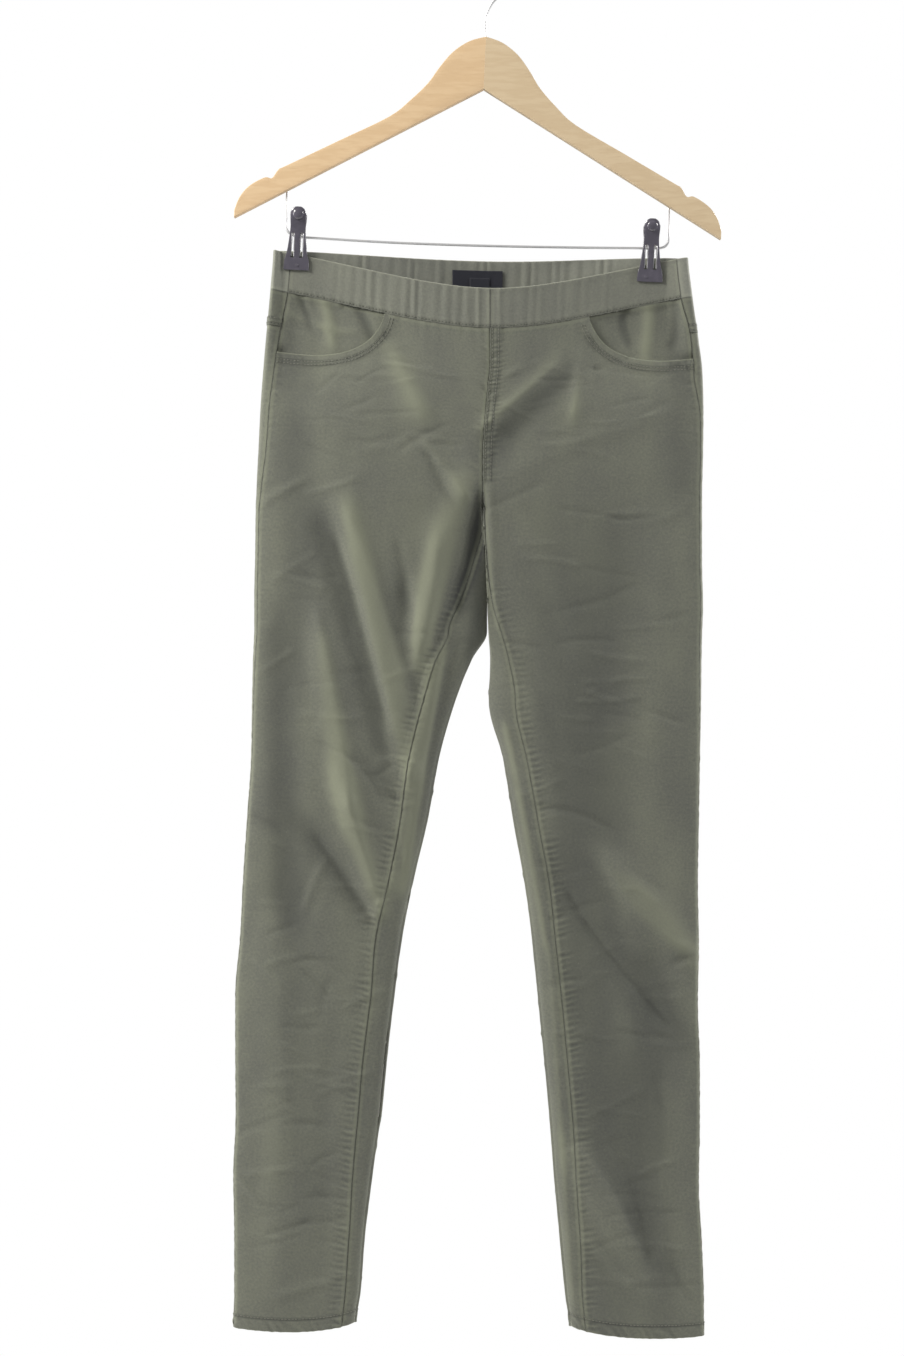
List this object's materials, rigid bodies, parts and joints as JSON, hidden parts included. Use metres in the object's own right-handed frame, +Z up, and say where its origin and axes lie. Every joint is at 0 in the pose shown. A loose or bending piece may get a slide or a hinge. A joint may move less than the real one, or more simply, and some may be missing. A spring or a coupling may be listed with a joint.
{
  "type": "pull-on jeans on a clip hanger",
  "caption": "Olive pull-on jeans with a gathered elastic waistband, curved front pockets and slim legs, hung by clips from the wire bar of a flat wooden hanger.",
  "frame": {"origin": "the seat of the hanger's hook, the lowest point of the rail that it hangs on", "axes": "+Z up, -Y toward the front of the garment, +X toward the wearer's left"},
  "size_m": [0.4439, 0.0509, 1.2627],
  "materials": {
    "olive_twill": "brushed, soft matt twill",
    "olive_waistband": "gathered, soft matt twill",
    "navy_label": "plain woven label",
    "pale_wood": "clear satin varnish",
    "bright_wire": "bright plated wire",
    "dark_clip": "dark grey gloss"
  },
  "bodies": {
    "root": {"front_panel_right": "olive_twill", "front_panel_left": "olive_twill", "back_panel_right": "olive_twill", "back_panel_left": "olive_twill", "back_yoke_right": "olive_twill", "back_yoke_left": "olive_twill", "pocket_facing_right": "olive_twill", "pocket_facing_left": "olive_twill", "back_pocket_right": "olive_twill", "back_pocket_left": "olive_twill", "waistband_front_right": "olive_waistband", "waistband_front_left": "olive_waistband", "waistband_back": "olive_waistband", "neck_label": "navy_label", "size_tab": "navy_label", "hanger_arm_right": "pale_wood", "hanger_arm_left": "pale_wood", "hanger_hook": "bright_wire", "hanger_bar": "bright_wire", "clip_right_front_lever": "dark_clip", "clip_right_back_lever": "dark_clip", "clip_left_front_lever": "dark_clip", "clip_left_back_lever": "dark_clip", "clip_right_spring": "bright_wire", "clip_left_spring": "bright_wire"}
  },
  "joints": []
}
